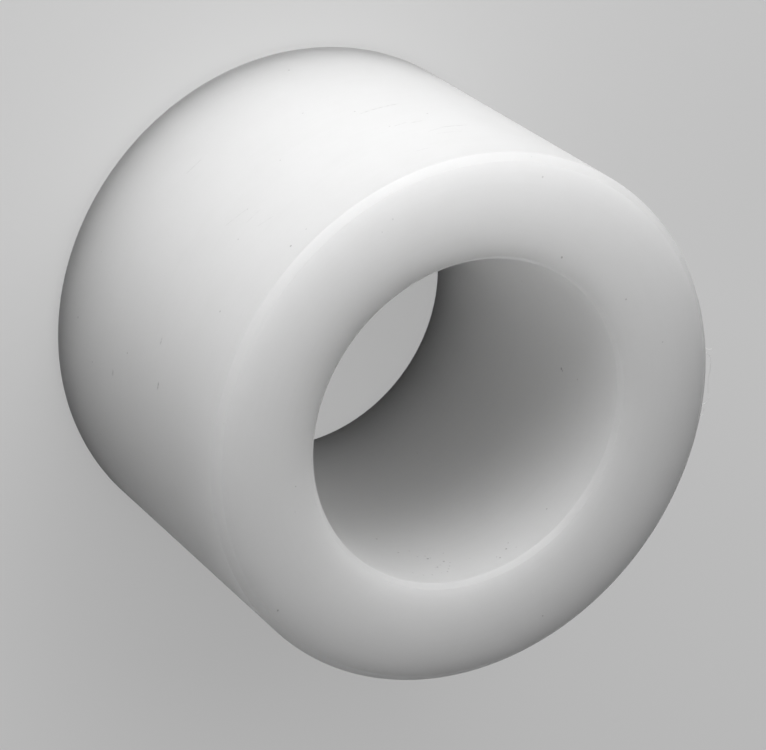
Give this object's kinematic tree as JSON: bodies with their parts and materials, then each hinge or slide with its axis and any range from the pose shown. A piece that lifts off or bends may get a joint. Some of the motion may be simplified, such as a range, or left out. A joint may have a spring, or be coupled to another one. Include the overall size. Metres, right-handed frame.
{
  "type": "spacer",
  "caption": "Thick-walled round plastic spacer sleeve with a straight through bore and chamfered edges; slips over a shaft or bolt and holds two parts a set distance apart.",
  "frame": {"origin": "centre of the lower end face, on the bore's axis", "axes": "+Z along the bore's axis, from the lower end face to the upper one; X and Y are free, because the part is round"},
  "size_m": [0.0412, 0.0412, 0.0286],
  "materials": {
    "white_plastic": "satin turned surface, slightly translucent"
  },
  "bodies": {
    "root": {"spacer": "white_plastic"}
  },
  "joints": []
}
